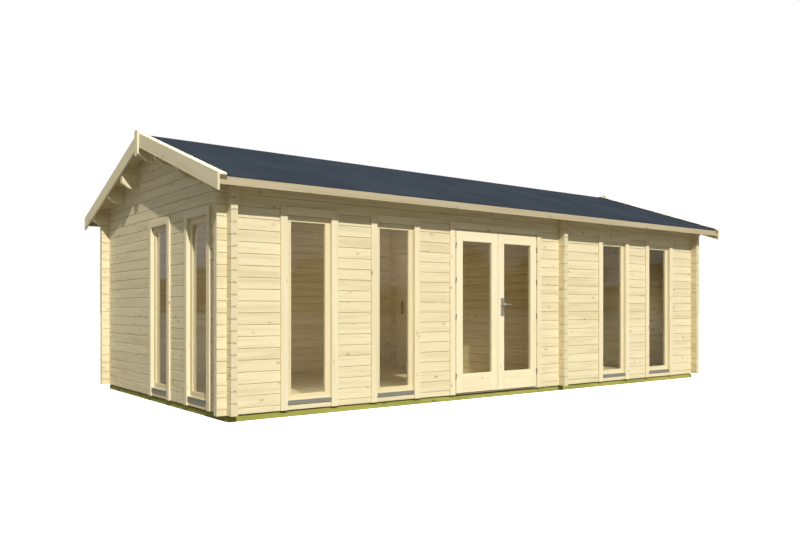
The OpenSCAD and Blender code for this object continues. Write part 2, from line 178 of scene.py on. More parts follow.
def outwards(points, faces):
    """The faces of a closed skin, turned over where its signed volume says that they look inwards."""
    total = 0.0
    for face in faces:
        p = Vector(points[face[0]])
        for i in range(1, len(face) - 1):
            total += p.dot(Vector(points[face[i]]).cross(Vector(points[face[i + 1]])))
    return [face[::-1] for face in faces] if total < 0 else faces


class Stock:
    """Boards gathered into one mesh. Each board has its own grain offset and tone."""

    def __init__(self, seed):
        self.seed = seed
        self.count = 0
        self.move = None
        self.points, self.faces, self.slots, self.grain, self.tone = [], [], [], [], []

    def prism(self, outline, start, end, place, key=None, cap=END, lay=(0, 1, 2)):
        """Draws an outline (a, b) out along l. start and end are lengths, or functions of a and b.

        lay says which of l, a and b the grain runs along, and which lie across it.
        """
        self.count += 1
        draw = random.Random(f"{self.seed}/{key if key is not None else self.count}")
        shift = (draw.uniform(0, 40), draw.uniform(0, 40), draw.uniform(0, 40))
        tone = draw.uniform(-1, 1)
        first = len(self.points)
        rings = []
        for ends in (start, end):
            loop = [(ends(a, b) if callable(ends) else ends, a, b) for a, b in outline]
            rings.append([self.move(place(*spot)) if self.move else place(*spot) for spot in loop])
            self.grain += [tuple(spot[i] + shift[k] for k, i in enumerate(lay)) for spot in loop]
        points, faces = skin(rings)
        self.points += points
        self.tone += [tone] * len(points)
        self.faces += [[first + i for i in face] for face in outwards(points, faces)]
        self.slots += [SIDE] * len(outline) + [cap, cap]

    def bar(self, low, high, along, chamfer=0.0015, key=None):
        """A straight board between two corners, its grain along one axis."""
        l, a, b = AXES[along]

        def place(length, across, other):
            point = [0, 0, 0]
            point[l], point[a], point[b] = length, across, other
            return tuple(point)

        outline = chamfered(low[a], high[a], low[b], high[b], chamfer)
        self.prism(outline, low[l], high[l], place, key)

    def piece(self, name, body, slot, materials, *nodes):
        """The gathered boards as one object in the shared frame."""
        mesh = bpy.data.meshes.new(name)
        mesh.from_pydata([Vector(p) + CORNER for p in self.points], [], self.faces)
        mesh.attributes.new("grain", "FLOAT_VECTOR", "POINT").data.foreach_set(
            "vector", [value for triple in self.grain for value in triple])
        mesh.attributes.new("tone", "FLOAT", "POINT").data.foreach_set("value", self.tone)
        for material in materials:
            mesh.materials.append(material)
        mesh.polygons.foreach_set("material_index", self.slots)
        mesh.update()
        show(mesh, name, body, slot, *nodes)


def show(mesh, name, body, slot, *nodes):
    """Links a mesh as a piece that stands for CAD nodes."""
    piece = bpy.data.objects.new(name, mesh)
    bpy.context.scene.collection.objects.link(piece)
    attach(piece, body)
    if nodes:
        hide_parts(*nodes)


def along_x(l, a, b):
    return (l, a, b)


def along_y(l, a, b):
    return (a, l, b)


def behind(point):
    """The same place on the back half."""
    return (point[0], WALL_DEP - point[1], point[2])


def on_slope(l, a, b, back=False):
    """l runs down a slope from the ridge, a along the roof, b up from the boards' underside."""
    out = l * math.cos(SLOPE) + b * math.sin(SLOPE)
    return (a, HALF_DEP + out if back else HALF_DEP - out,
            RIDGE_Z - l * math.sin(SLOPE) + b * math.cos(SLOPE))


def slope_bar(stock, x0, x1, b0, b1, out, chamfer, short=0.0, back=False):
    """A board down a slope, cut plumb at the ridge, or a little short of it, and at the eave."""
    def ridge_end(a, b):
        return short / math.cos(SLOPE) - b * RISE

    def eave_end(a, b):
        return (HALF_DEP + out) / math.cos(SLOPE) - b * RISE

    def place(l, a, b):
        return on_slope(l, a, b, back)

    stock.prism(chamfered(x0, x1, b0, b1, chamfer), ridge_end, eave_end, place)


# ---- materials
def nodes_of(name):
    """A new material, the wires of its node tree, and its shader."""
    material = bpy.data.materials.new(name)
    material.use_nodes = True
    tree = material.node_tree
    return material, Wires(tree), tree.nodes["Principled BSDF"]


class Wires:
    """Short ways to add and join shader nodes."""

    def __init__(self, tree):
        self.tree = tree

    def add(self, kind, inputs=(), **settings):
        made = self.tree.nodes.new(kind)
        for key, value in settings.items():
            setattr(made, key, value)
        for key, value in dict(inputs).items():
            self.feed(value, made.inputs[key])
        return made

    def feed(self, value, socket):
        if hasattr(value, "is_output"):
            self.tree.links.new(value, socket)
        else:
            socket.default_value = value

    def math(self, operation, *values):
        return self.add("ShaderNodeMath", enumerate(values), operation=operation).outputs[0]

    def plus(self, first, second):
        return self.math("ADD", first, second)

    def times(self, first, second):
        return self.math("MULTIPLY", first, second)

    def attribute(self, name, output):
        return self.add("ShaderNodeAttribute", attribute_name=name).outputs[output]

    def scaled(self, vector, factors):
        made = self.add("ShaderNodeVectorMath", {0: vector, 1: factors}, operation="MULTIPLY")
        return made.outputs[0]

    def noise(self, vector, scale, detail=2.0, rough=0.5, distortion=0.0):
        made = self.add("ShaderNodeTexNoise", {
            "Vector": vector, "Scale": scale, "Detail": detail, "Roughness": rough,
            "Distortion": distortion})
        return made.outputs["Fac"]

    def ramp(self, value, low, high, to_low=0.0, to_high=1.0, smooth=True):
        made = self.add("ShaderNodeMapRange", {
            "Value": value, "From Min": low, "From Max": high, "To Min": to_low, "To Max": to_high})
        if smooth:
            made.interpolation_type = "SMOOTHSTEP"
        return made.outputs[0]

    def mix(self, amount, first, second, blend="MIX"):
        made = self.add("ShaderNodeMix", data_type="RGBA", blend_type=blend)
        for value, socket in ((amount, made.inputs[0]), (first, made.inputs[6]), (second, made.inputs[7])):
            if isinstance(value, tuple) and len(value) == 3:
                value = (*value, 1.0)
            self.feed(value, socket)
        return made.outputs[2]

    def bump(self, height, distance, normal=None):
        inputs = {"Height": height, "Distance": distance, "Strength": 1.0}
        if normal is not None:
            inputs["Normal"] = normal
        return self.add("ShaderNodeBump", inputs).outputs[0]


def wood(name, pale, dark, knot=(0.30, 0.15, 0.05), knots=1.0, streaks=1.0, rough=0.62, tint=None, end=False):
    """Softwood cut from the solid: rings round a pith, broad streaks, fine fibres and knots."""
    material, w, shader = nodes_of(name)
    grain = w.attribute("grain", "Vector")
    tone = w.attribute("tone", "Fac")
    split = w.add("ShaderNodeSeparateXYZ", {0: grain})
    length, across, other = split.outputs

    # Knots sit on the board's faces, in cells about a third of a metre long
    both = w.plus(w.times(across, 1.3), w.times(other, 0.9))
    plane = w.add("ShaderNodeCombineXYZ", {0: length, 1: both, 2: 0.0}).outputs[0]
    cells = w.add("ShaderNodeTexVoronoi", {"Vector": w.scaled(plane, (2.6, 5.2, 1.0)), "Scale": 1.0},
                  voronoi_dimensions="2D")
    near, cell = cells.outputs["Distance"], cells.outputs["Color"]
    chance = w.add("ShaderNodeSeparateColor", {0: cell}).outputs[0]
    size = w.ramp(chance, 0.35, 1.0, 0.0, 0.085 * knots, smooth=False)
    edge = w.math("SUBTRACT", near, size)
    spot = w.times(w.ramp(edge, 0.012, -0.012), w.ramp(size, 0.004, 0.012))
    halo = w.times(w.ramp(edge, 0.10, 0.0), w.ramp(size, 0.004, 0.012))

    # The fibres run round a knot
    bend = w.times(halo, 0.010)
    turned = w.add("ShaderNodeCombineXYZ", {0: length, 1: w.plus(across, bend), 2: other}).outputs[0]
    broad = w.noise(w.scaled(turned, (0.9, 16.0, 16.0)), 1.0, 3.0, 0.55, 0.4)
    wander = w.noise(w.scaled(turned, (0.7, 2.0, 2.0)), 1.0, 2.0)
    fibres = w.noise(w.scaled(turned, (7.0, 420.0, 420.0)), 1.0, 2.0, 0.6)
    pores = w.noise(w.scaled(turned, (30.0, 900.0, 900.0)), 1.0, 1.0)
    bow = w.plus(w.times(wander, 0.06), across)
    ring_at = w.plus(w.times(bow, 190.0), w.times(other, 120.0))
    rings = w.math("PINGPONG", w.plus(ring_at, w.times(broad, 3.0)), 1.0)
    late = w.ramp(rings, 0.55, 1.0)

    streak = w.ramp(broad, 0.38, 0.72)
    streaked = w.times(streak, 0.50 * streaks)
    amount = w.plus(streaked, w.times(late, 0.22 * streaks))
    amount = w.plus(amount, w.times(w.ramp(fibres, 0.35, 0.75), 0.12))
    amount = w.plus(amount, w.times(tone, 0.14))
    amount = w.plus(amount, w.times(halo, 0.55))
    amount = w.add("ShaderNodeClamp", {0: amount}).outputs[0]
    colour = w.mix(amount, pale, dark)
    warmth = w.ramp(w.noise(w.scaled(grain, (0.5, 3.0, 3.0)), 1.0, 2.0), 0.35, 0.70, 0.0, 0.6)
    colour = w.mix(warmth, colour, (1.0, 0.965, 0.95), "MULTIPLY")
    ringed = w.ramp(w.math("PINGPONG", w.times(near, 60.0), 1.0), 0.2, 0.9)
    heart = w.mix(ringed, tuple(0.55 * c for c in knot), knot)
    colour = w.mix(w.times(spot, 0.85), colour, heart)
    if end:
        # Cut across the fibres: rings show as arcs, and the wood looks darker
        pith = w.add("ShaderNodeCombineXYZ", {0: 0.0, 1: across, 2: other}).outputs[0]
        arcs = w.add("ShaderNodeTexWave", {
            "Vector": pith, "Scale": 42.0, "Distortion": 5.0, "Detail": 2.0, "Detail Scale": 0.6},
            wave_type="RINGS", rings_direction="X").outputs["Fac"]
        colour = w.mix(w.times(arcs, 0.30), w.mix(0.30, pale, dark), dark)
        checks = w.ramp(w.noise(w.scaled(pith, (1.0, 60.0, 60.0)), 1.0, 3.0), 0.5, 0.8)
        colour = w.mix(w.times(checks, 0.25), colour, tuple(0.5 * c for c in dark))
    if tint is not None:
        patch = w.noise(w.scaled(grain, (1.5, 5.0, 5.0)), 1.0, 3.0)
        colour = w.mix(w.ramp(patch, 0.35, 0.7, 0.1, 0.7), colour, tint)
    w.feed(colour, shader.inputs["Base Color"])
    w.feed(w.ramp(fibres, 0.3, 0.8, rough - 0.06, rough + 0.10), shader.inputs["Roughness"])
    shader.inputs["Specular IOR Level"].default_value = 0.30
    coarse = w.bump(w.plus(w.times(late, 0.5), w.times(broad, 0.5)), 0.00035)
    fine = w.bump(w.plus(fibres, w.times(pores, 0.4)), 0.00025, coarse)
    w.feed(fine, shader.inputs["Normal"])
    return material


def felt_material():
    """Bitumen felt with slate granules, a little paler where they lie thick."""
    material, w, shader = nodes_of("slate_felt")
    grain = w.attribute("grain", "Vector")
    granules = w.noise(grain, 420.0, 2.0, 0.7)
    patches = w.noise(w.scaled(grain, (0.8, 1.6, 1.6)), 1.0, 3.0)
    amount = w.plus(w.times(w.ramp(granules, 0.35, 0.7), 0.5),
                    w.times(w.ramp(patches, 0.3, 0.7), 0.4))
    w.feed(w.mix(amount, (0.033, 0.0425, 0.0575), (0.056, 0.0685, 0.089)), shader.inputs["Base Color"])
    w.feed(w.ramp(granules, 0.3, 0.7, 0.80, 0.95), shader.inputs["Roughness"])
    w.feed(w.bump(granules, 0.0012), shader.inputs["Normal"])
    shader.inputs["Specular IOR Level"].default_value = 0.0
    return material


def glass_material():
    """Thin tinted pane: what is behind it shows through, with a gloss that grows at a glancing angle."""
    material, w, shader = nodes_of("pane_glass")
    w.tree.nodes.remove(shader)
    place = w.add("ShaderNodeTexCoord").outputs["Object"]
    dust = w.noise(w.scaled(place, (1.5, 1.5, 0.8)), 1.0, 3.0)
    film = w.noise(place, 60.0, 2.0)
    wave = w.bump(w.noise(place, 1.7, 1.0), 0.0020)
    tint = w.mix(w.ramp(dust, 0.3, 0.7, 0.0, 0.3), (0.94, 0.935, 0.90), (0.90, 0.895, 0.86))
    clear = w.add("ShaderNodeBsdfTransparent", {"Color": tint})
    gloss = w.add("ShaderNodeBsdfGlossy", {
        "Color": (0.92, 0.96, 1.0, 1.0), "Roughness": w.ramp(film, 0.3, 0.7, 0.015, 0.045), "Normal": wave})
    facing = w.add("ShaderNodeLayerWeight", {"Blend": 0.5, "Normal": wave}).outputs["Facing"]
    edge = w.ramp(w.math("POWER", facing, 5.0), 0.0, 1.0, 0.045, 1.0, smooth=False)
    both = w.add("ShaderNodeMixShader", {0: edge, 1: clear.outputs[0], 2: gloss.outputs[0]})
    w.feed(both.outputs[0], w.tree.nodes["Material Output"].inputs["Surface"])
    return material


def metal(name, colour, rough, worn, metallic=1.0, stretch=(1.0, 1.0, 40.0)):
    """Sheet or cast metal with a fine drawn finish."""
    material, w, shader = nodes_of(name)
    place = w.add("ShaderNodeTexCoord").outputs["Object"]
    drawn = w.noise(w.scaled(place, stretch), 25.0, 3.0, 0.6)
    blotch = w.noise(place, 14.0, 3.0)
    amount = w.times(w.ramp(blotch, 0.4, 0.75), 0.5)
    w.feed(w.mix(amount, colour, worn), shader.inputs["Base Color"])
    w.feed(w.ramp(drawn, 0.3, 0.7, rough - 0.05, rough + 0.09), shader.inputs["Roughness"])
    w.feed(w.bump(drawn, 0.00012), shader.inputs["Normal"])
    shader.inputs["Metallic"].default_value = metallic
    return material


def wood_pair(name, pale, dark, **look):
    """Material of a board's long faces, and that of its sawn ends."""
    return [wood(name, pale, dark, **look), wood(f"{name}_ends", pale, dark, end=True, **look)]


LOG_WOOD = wood_pair("log_spruce", (0.80, 0.71, 0.465), (0.60, 0.50, 0.28), knot=(0.46, 0.30, 0.14),
                     knots=0.42)
BOARD_WOOD = wood_pair("planed_spruce", (0.83, 0.74, 0.495), (0.66, 0.56, 0.33), knot=(0.46, 0.30, 0.14),
                       knots=0.5, streaks=0.7)
# One joinery wood in two copies. The leaves' copy is paler, which paints light onto their sunlit faces. The
# sashes' copy is darker, which paints the shade of the reveals they sit in.
LIT_JOINERY_WOOD = wood_pair("joinery_spruce_painted_light", (0.87, 0.78, 0.53), (0.72, 0.62, 0.38),
                         knots=0.25, streaks=0.6, rough=0.5)
SHADED_SASH_WOOD = wood_pair("sash_spruce_painted_shade", (0.75, 0.66, 0.42), (0.62, 0.52, 0.29),
                      knots=0.25, streaks=0.6, rough=0.5)
FLOOR_WOOD = wood_pair("floor_spruce", (0.82, 0.73, 0.50), (0.64, 0.54, 0.32), knots=0.6)
ROOF_WOOD = wood_pair("roof_spruce", (0.78, 0.69, 0.45), (0.61, 0.50, 0.28), knots=0.7)
FASCIA_WOOD = wood_pair("fascia_spruce", (0.50, 0.43, 0.28), (0.39, 0.32, 0.19), knots=0.4)
CAP_WOOD = wood_pair("cap_spruce", (0.90, 0.84, 0.66), (0.74, 0.66, 0.46), knots=0.3, streaks=0.6)
BATTEN_WOOD = [LOG_WOOD[0], wood("batten_ends", (0.21, 0.155, 0.075), (0.12, 0.085, 0.038), end=True)]
BEAM_WOOD = wood_pair("treated_pine", (0.46, 0.42, 0.105), (0.31, 0.28, 0.06), rough=0.78,
                      knot=(0.10, 0.08, 0.02), tint=(0.22, 0.26, 0.04))
FELT = felt_material()
GLASS = glass_material()
SILL = metal("sill_sheet", (0.25, 0.25, 0.21), 0.55, (0.20, 0.20, 0.17), metallic=0.2)
STEEL = metal("hinge_zinc", (0.36, 0.29, 0.20), 0.45, (0.26, 0.20, 0.13), metallic=0.3)
HANDLE = metal("handle_steel", (0.44, 0.42, 0.38), 0.30, (0.29, 0.27, 0.25), 0.60, stretch=(40.0, 1.0, 1.0))
THRESHOLD = metal("threshold_strip", (0.30, 0.27, 0.20), 0.45, (0.22, 0.19, 0.14), metallic=0.2)


# ---- log walls
# Steps of the double tongue, from the outer face inwards: depth, and whether the step is up
TEETH = ((0.017, 0), (0.021, 1), (0.028, 1), (0.032, 0), (0.038, 0), (0.042, 1), (0.049, 1), (0.053, 0))


def log_section(near, z0, z1, below, above, z1_in=None):
    """Section of a log, (depth, height): V grooves and a double tongue at a joint, else a plain cut."""
    far = near + LOG_T
    if below:
        low = [(near, z0 + GROOVE), (near + GROOVE, z0)]
        low += [(near + d, z0 + TONGUE * up) for d, up in TEETH]
        low += [(far - GROOVE, z0), (far, z0 + GROOVE)]
    else:
        low = [(near, z0), (far, z0)]
    if above:
        z, face_z = z1 - SEAM, z1 - FACE_SEAM
        high = [(far, face_z - GROOVE), (far - GROOVE, face_z)]
        high += [(near + d, z + TONGUE * up) for d, up in reversed(TEETH)]
        high += [(near + GROOVE, face_z), (near, face_z - GROOVE)]
    else:
        high = [(far, z1 if z1_in is None else z1_in), (near, z1)]
    return low + high


def stretches(low, high, holes):
    """What is left of low to high outside the holes."""
    left = []
    for a, b in sorted(holes):
        if a > low:
            left.append((low, min(a, high)))
        low = max(low, b)
    left.append((low, high))
    return [(a, b) for a, b in left if b - a > TINY]


def bands(z0, z1, levels):
    """A course cut at the levels inside it, with whether each edge is a joint between logs."""
    cuts = [z0] + sorted({z for z in levels if z0 + TINY < z < z1 - TINY}) + [z1]
    last = len(cuts) - 2
    return [(cuts[i], cuts[i + 1], i == 0, i == last) for i in range(len(cuts) - 1)]


def window_holes(centres):
    half = WIN_HALF + JAMB_T
    return [(c - half, c + half, FRAME_FOOT, OPENING_TOP + JAMB_T) for c in centres]


def courses(edges, holes, cut, floor):
    """Courses above a height, cut at the holes' feet and heads and at one more level.

    For each piece: the course's number, both heights, whether it is jointed below and above, and its gaps.
    """
    levels = [z for hole in holes for z in hole[2:]] + [cut]
    top = len(edges) - 2
    for k in range(top + 1):
        for z0, z1, first, last in bands(edges[k], edges[k + 1], levels):
            middle = (z0 + z1) / 2
            if middle >= floor:
                gaps = [(a, b) for a, b, foot, head in holes if foot < middle < head]
                yield k, z0, z1, first and k > 0, last and k < top, gaps


def long_wall(stock, low, high, holes, floor=0.0, back=False):
    """Courses of a long wall between two places along it, above a height. The top ones are corbels."""
    top_z = under(0)
    edges = [BEAM_H] + [z for z in LONG_JOINTS if z < top_z - 2 * GROOVE] + [top_z]
    for k, z0, z1, below, above, gaps in courses(edges, holes, CORBEL_Z + END_CUT_H, floor):
        reach = GABLE_OUT if z0 > CORBEL_Z - TINY else TAIL
        slanted = abs(z0 - CORBEL_Z) < TINY
        section = log_section(0, z0, z1, below, above, under(LOG_T) if z1 == top_z else None)
        for a, b in stretches(max(-reach, low), min(WALL_LEN + reach, high), gaps):
            start = cut_end(-1) if slanted and a == -reach else a
            end = cut_end(1) if slanted and b == WALL_LEN + reach else b
            stock.prism(section, start, end, back_x if back else along_x, key=f"course{k}")


def back_x(l, a, b):
    return (l, WALL_DEP - a, b)


def cut_end(side, foot=CORBEL_Z):
    """Length to the slanted cut under the end of a log whose foot is at this height."""
    def reach(a, b):
        out = GABLE_OUT - END_CUT_RUN * max(0.0, 1 - (b - foot) / END_CUT_H)
        return WALL_LEN + out if side > 0 else -out
    return reach


def crossing_wall(stock, near, holes, low=-TAIL, high=WALL_DEP + TAIL, floor=0.0):
    """Courses of a wall from front to back, with log ends past the long walls, cut to the roof."""
    roof_gap, least_course = 0.012, 0.020
    top_z = under(min(max(low, HALF_DEP), high)) - roof_gap
    edges = [BEAM_H] + [z for z in CROSS_JOINTS if z < top_z - least_course] + [top_z]

    def front_end(a, b):
        return max(low, (b - EAVE_Z) / RISE)

    def back_end(a, b):
        return min(high, WALL_DEP - (b - EAVE_Z) / RISE)

    for k, z0, z1, below, above, gaps in courses(edges, holes, EAVE_Z - TAIL * RISE, floor):
        section = log_section(near, z0, z1, below, above)
        for a, b in stretches(low, high, gaps):
            stock.prism(section, front_end if a == low else a, back_end if b == high else b,
                        along_y, key=f"course{k}")


def log_piece(name, node, seed, build, *places, **options):
    """A wall, or a stretch of one, as a piece."""
    stock = Stock(seed)
    build(stock, *places, **options)
    stock.piece(f"{name}_logs", "cabin", "log", LOG_WOOD, node)


def make_walls():
    low, high = -GABLE_OUT, WALL_LEN + GABLE_OUT
    door = (DOOR_X - FRAME_OUT, DOOR_X + FRAME_OUT)
    head = OPENING_TOP + JAMB_T
    holes = window_holes(FRONT_WINDOWS) + [(*door, 0.0, head)]
    for node, start, end, floor in (("front_wall_left", low, door[0], 0.0),
                                    ("front_wall_right", door[1], high, 0.0),
                                    ("front_wall_over_door", *door, head)):
        log_piece(node, node, "front", long_wall, start, end, holes, floor)
    log_piece("back_wall", "back_wall", "back", long_wall, low, high, [], back=True)

    log_piece("left_gable", "left_gable_wall", "left_gable", crossing_wall, 0.0, window_holes(GABLE_WINDOWS))
    log_piece("right_gable", "right_gable_wall", "right_gable", crossing_wall, WALL_LEN - LOG_T, [])

    inner = (INNER_LOW - JAMB_T, INNER_HIGH + JAMB_T)
    head = INNER_HEAD + JAMB_T
    holes = [(*inner, 0.0, head)]
    for node, start, end, floor in (("partition_wall_front", -TAIL, inner[0], 0.0),
                                    ("partition_wall_back", inner[1], WALL_DEP + TAIL, 0.0),
                                    ("partition_wall_over_door", *inner, head)):
        log_piece(node, node, "partition", crossing_wall, PARTITION_X, holes, start, end, floor)


# ---- base and floor
def beam(stock, near, start, end, place):
    """A foundation beam on the ground, with a small rebate along both upper edges."""
    ease, step_in, step_down = 0.003, 0.020, 0.018
    far = near + BEAM_W
    ledge = BEAM_H - step_down
    outline = [(near + ease, 0.0), (far - ease, 0.0), (far, ease), (far, ledge), (far - step_in, ledge),
               (far - step_in, BEAM_H), (near + step_in, BEAM_H), (near + step_in, ledge), (near, ledge),
               (near, ease)]
    stock.prism(outline, start, end, place)


def make_base():
    long, cross, floor = Stock("beams"), Stock("cross_beams"), Stock("floor")
    low, high = from_corner(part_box("long_foundation_beams"))
    rows = (low.y, round(WALL_DEP / 3, 3), round(WALL_DEP * 2 / 3, 3), high.y - BEAM_W)
    for y in rows:
        beam(long, y, low.x, high.x, along_x)
    long.piece("treated_long_beams", "cabin", "treated_beam", BEAM_WOOD, "long_foundation_beams")

    for x in (low.x, PARTITION_X, high.x - BEAM_W):
        for start, end in zip(rows, rows[1:]):
            beam(cross, x, start + BEAM_W, end, along_y)
    cross.piece("treated_cross_beams", "cabin", "treated_beam", BEAM_WOOD, "cross_foundation_beams")

    gap, board = 0.004, 0.0925
    near, far = LOG_T + gap, WALL_DEP - LOG_T - gap
    for x0, x1 in ((LOG_T + gap, PARTITION_X - gap), (PARTITION_X + LOG_T + gap, WALL_LEN - LOG_T - gap)):
        count = round((x1 - x0) / board)
        step = (x1 - x0) / count
        for k in range(count):
            floor.bar((x0 + k * step, near, BEAM_H), (x0 + (k + 1) * step, far, FLOOR_TOP), "y", 0.0012)
    floor.piece("floor_planks", "cabin", "floorboard", FLOOR_WOOD, "floor_boards")


# ---- roof
def purlin(stock, middle, foot, key):
    """A purlin planed to the slope, with both lower ends cut at a slant."""
    y0, y1 = middle - LOG_T / 2, middle + LOG_T / 2
    level = foot + END_CUT_H
    ease = 0.003
    low = [(y0, foot + ease), (y0 + ease, foot), (y1 - ease, foot), (y1, foot + ease),
           (y1, level), (y0, level)]
    stock.prism(low, cut_end(-1, foot), cut_end(1, foot), along_x, key)
    high = [(y0, level), (y1, level), (y1, under(y1))]
    if y0 < HALF_DEP < y1:
        high.append((HALF_DEP, RIDGE_Z))
    high.append((y0, under(y0)))
    stock.prism(high, -GABLE_OUT, WALL_LEN + GABLE_OUT, along_x, key)


def make_roof():
    stock = Stock("ridge")
    purlin(stock, HALF_DEP, LONG_JOINTS[23], "ridge")
    stock.piece("ridge_beam", "cabin", "log", LOG_WOOD, "ridge_purlin")

    stock = Stock("purlins")
    for middle, foot in SIDE_PURLINS:
        purlin(stock, middle, foot, f"{middle}")
    stock.piece("side_beams", "cabin", "log", LOG_WOOD, "side_purlins")

    left, right = BATTEN_W - GABLE_OUT, WALL_LEN + GABLE_OUT - BATTEN_W
    boards = 84
    step = (right - left) / boards
    for back, node in ((False, "roof_boards_front"), (True, "roof_boards_back")):
        stock = Stock(node)
        for k in range(boards):
            slope_bar(stock, left + k * step, left + (k + 1) * step, 0.0, BOARD_T,
                      EAVE_OUT - TRIM_T, 0.003, back=back)
        stock.piece(f"{node}_laid", "cabin", "roof_board", ROOF_WOOD, node)

    make_felt(left, right)
    make_roof_edges(left, right)


def make_felt(left, right):
    """Three lapped strips on each slope, turned down at the eave and up at the caps, and a ridge strip."""
    stock = Stock("felt")
    roll, lap, sheet, tilt = 0.95, 0.08, 0.0022, 0.0004
    slope_len = (HALF_DEP + EAVE_OUT) / math.cos(SLOPE)
    top = BOARD_T + FELT_T
    section = [(left, top - sheet), (right, top - sheet), (right, top), (left, top)]
    # The strip turned down over the fascia, from its lower outer corner
    drop, proud = 0.014, 0.0025
    eave = under(-EAVE_OUT) + top / math.cos(SLOPE)
    y0, y1 = -EAVE_OUT - proud, -EAVE_OUT + 0.004
    lip = [(y0, eave - drop), (-EAVE_OUT, eave - drop), (-EAVE_OUT, eave - 0.004), (y1, eave - 0.003),
           (y1, eave + 0.001), (y0, eave - 0.0005)]
    for back in (False, True):
        for n in range(3):
            low = slope_len - n * (roll - lap)
            high = max(0.0, low - roll)

            def place(l, a, b, high=high, low=low):
                share = (l - high) / (low - high)
                return on_slope(l, a, b - tilt + 2 * tilt * share, back)

            stock.prism(section, high, low - (0.0 if n else top * RISE), place, cap=SIDE)
        stock.prism(lip, left, right, back_x if back else along_x, cap=SIDE)
        for x in (left, right - FELT_T):
            slope_bar(stock, x, x + FELT_T, top - 0.001, top + CAP_T - 0.0005, EAVE_OUT, 0.0008, back=back)
    reach, fold_t = 0.16, 0.003
    peak = RIDGE_Z + (top + 0.001) / math.cos(SLOPE)
    edge = peak - reach * RISE
    fold = [(HALF_DEP - reach, edge), (HALF_DEP, peak), (HALF_DEP + reach, edge),
            (HALF_DEP + reach, edge - fold_t), (HALF_DEP, peak - fold_t), (HALF_DEP - reach, edge - fold_t)]
    stock.prism(fold, left, right, along_x, cap=SIDE)
    stock.piece("felt_strips", "cabin", "felt", [FELT, FELT], "roof_felt")


def make_roof_edges(left, right):
    far = WALL_LEN + GABLE_OUT
    cap_top = BOARD_T + FELT_T + CAP_T

    stock = Stock("fascia")
    eave = under(-EAVE_OUT)
    top = eave + BOARD_T / math.cos(SLOPE) - 0.001
    batten_foot = eave - 0.022
    # A fascia is shorter above the foot of the battens, where they cross it
    spans = ((-GABLE_OUT, far, top - FASCIA_H, batten_foot), (left, right, batten_foot, top))
    for back in (False, True):
        for x0, x1, z0, z1 in spans:
            stock.bar((x0, -EAVE_OUT, z0), (x1, TRIM_T - EAVE_OUT, z1), "x", 0.0, key=f"fascia{back}")
        stock.move = behind
    stock.piece("eave_fascias", "cabin", "planed_board", FASCIA_WOOD, "fascias")

    for node, x in (("left_bargeboards", -GABLE_OUT - TRIM_T), ("right_bargeboards", far)):
        stock = Stock(node)
        for back in (False, True):
            slope_bar(stock, x, x + TRIM_T, cap_top - BARGE_W, cap_top, EAVE_OUT, 0.002, MITRE_GAP, back=back)
        stock.piece(f"{node}_sawn", "cabin", "planed_board", BOARD_WOOD, node)

    stock = Stock("apex")
    half, proud, length = 0.050, 0.028, 0.303
    peak = RIDGE_Z + cap_top / math.cos(SLOPE) + proud
    tip = peak - length
    outline = [(HALF_DEP - half, tip + half / 2), (HALF_DEP, tip), (HALF_DEP + half, tip + half / 2),
               (HALF_DEP + half, peak - half * RISE), (HALF_DEP, peak), (HALF_DEP - half, peak - half * RISE)]
    for x in (-GABLE_OUT - 2 * TRIM_T, far + TRIM_T):
        stock.prism(outline, x, x + TRIM_T, along_x, lay=(2, 1, 0), cap=SIDE)
    stock.piece("apex_boards", "cabin", "planed_board", BOARD_WOOD, "apex_plates")

    battens, caps = Stock("battens"), Stock("caps")
    for x0, x1 in ((-GABLE_OUT, left), (right, far)):
        for back in (False, True):
            slope_bar(battens, x0, x1, -BATTEN_DROP, BOARD_T + FELT_T, EAVE_OUT, 0.002, MITRE_GAP, back=back)
            slope_bar(caps, x0, x1, BOARD_T + FELT_T, cap_top, EAVE_OUT, 0.002, MITRE_GAP, back=back)
    battens.piece("rake_battens", "cabin", "planed_board", BATTEN_WOOD, "edge_battens")
    caps.piece("rake_caps", "cabin", "planed_board", CAP_WOOD, "edge_caps")


# ---- windows
def front_place(centre):
    return lambda p: (p[0] + centre, p[1], p[2])


def gable_place(centre):
    return lambda p: (p[1], centre - p[0], p[2])


WINDOWS = [front_place(x) for x in FRONT_WINDOWS] + [gable_place(y) for y in GABLE_WINDOWS]


def ring(stock, x0, x1, y0, y1, z0, z1, widths, chamfer=0.0015):
    """Four boards round an opening: left, right, foot and head widths. The uprights run through."""
    left, right, foot, head = widths
    boards = (("z", x0, x0 + left, z0, z1), ("z", x1 - right, x1, z0, z1),
              ("x", x0 + left, x1 - right, z0, z0 + foot), ("x", x0 + left, x1 - right, z1 - head, z1))
    for along, a, b, low, high in boards:
        if a < b and low < high:
            stock.bar((a, y0, low), (b, y1, high), along, chamfer)


def beads(stock, x0, x1, y0, y1, z0, z1):
    """Thin glazing beads round a pane."""
    ring(stock, x0, x1, y0, y1, z0, z1, (0.003,) * 4, 0.001)


def cover_boards(stock, half):
    """Boards on the wall at both sides of an opening and over it."""
    for x in (-half - COVER_W, half):
        stock.bar((x, -TRIM_T, BEAM_H), (x + COVER_W, 0.0, COVERS_TOP), "z", 0.002)
    stock.bar((-half, -TRIM_T, OPENING_TOP), (half, 0.0, COVERS_TOP), "x", 0.002)


def sill(stock):
    """Folded drip sill: a sloping top, a turned-down front with a kick, and closed ends."""
    sheet, rise, kick = 0.0015, 0.003, 0.004
    half = WIN_HALF - 0.001
    top, foot, front = FRAME_FOOT, FRAME_FOOT - 0.038, -0.010
    section = [
        (0.0, top + rise), (front, top), (front, foot + kick), (front - 0.003, foot),
        (front - 0.0015, foot), (front + sheet, foot + 0.0045), (front + sheet, top - sheet),
        (0.0, top + rise - sheet)]
    stock.prism(section, -half, half, along_x, cap=SIDE)
    cheek = [(front, foot + kick), (front, top), (0.0, top + rise), (0.0, top - 0.012)]
    for x in (-half, half - sheet):
        stock.prism(cheek, x, x + sheet, along_x, cap=SIDE)


